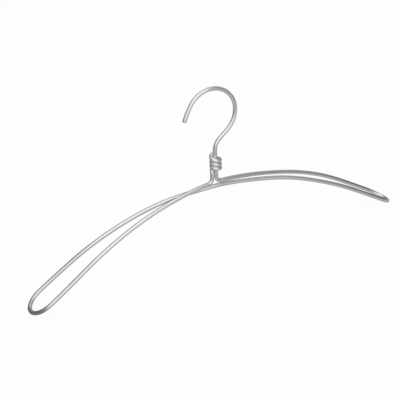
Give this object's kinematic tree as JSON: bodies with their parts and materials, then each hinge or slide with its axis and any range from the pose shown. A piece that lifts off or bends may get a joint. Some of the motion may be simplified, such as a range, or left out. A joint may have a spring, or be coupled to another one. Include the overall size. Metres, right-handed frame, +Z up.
{
  "type": "shirt hanger",
  "caption": "Bent-wire aluminium shirt hanger with an open hook, a wound neck and wide looped shoulders with rounded ends.",
  "frame": {"origin": "the rail seat: the highest point of the hook's inside, where the hanger rests on a rail", "axes": "+Z up, +X along the shoulders to the end away from the hook's opening, +Y from the front strands to the back ones; the hook opens towards -X"},
  "size_m": [0.42, 0.0336, 0.1838],
  "materials": {
    "aluminium_wire": "satin, bright"
  },
  "bodies": {
    "root": {"hook": "aluminium_wire", "stem": "aluminium_wire", "neck_coil": "aluminium_wire", "right_neck_bend": "aluminium_wire", "right_shoulder_back": "aluminium_wire", "right_end_loop": "aluminium_wire", "right_shoulder_front": "aluminium_wire", "under_neck_run": "aluminium_wire", "left_shoulder_back": "aluminium_wire", "left_end_loop": "aluminium_wire", "left_shoulder_front": "aluminium_wire", "left_neck_bend": "aluminium_wire"}
  },
  "joints": []
}
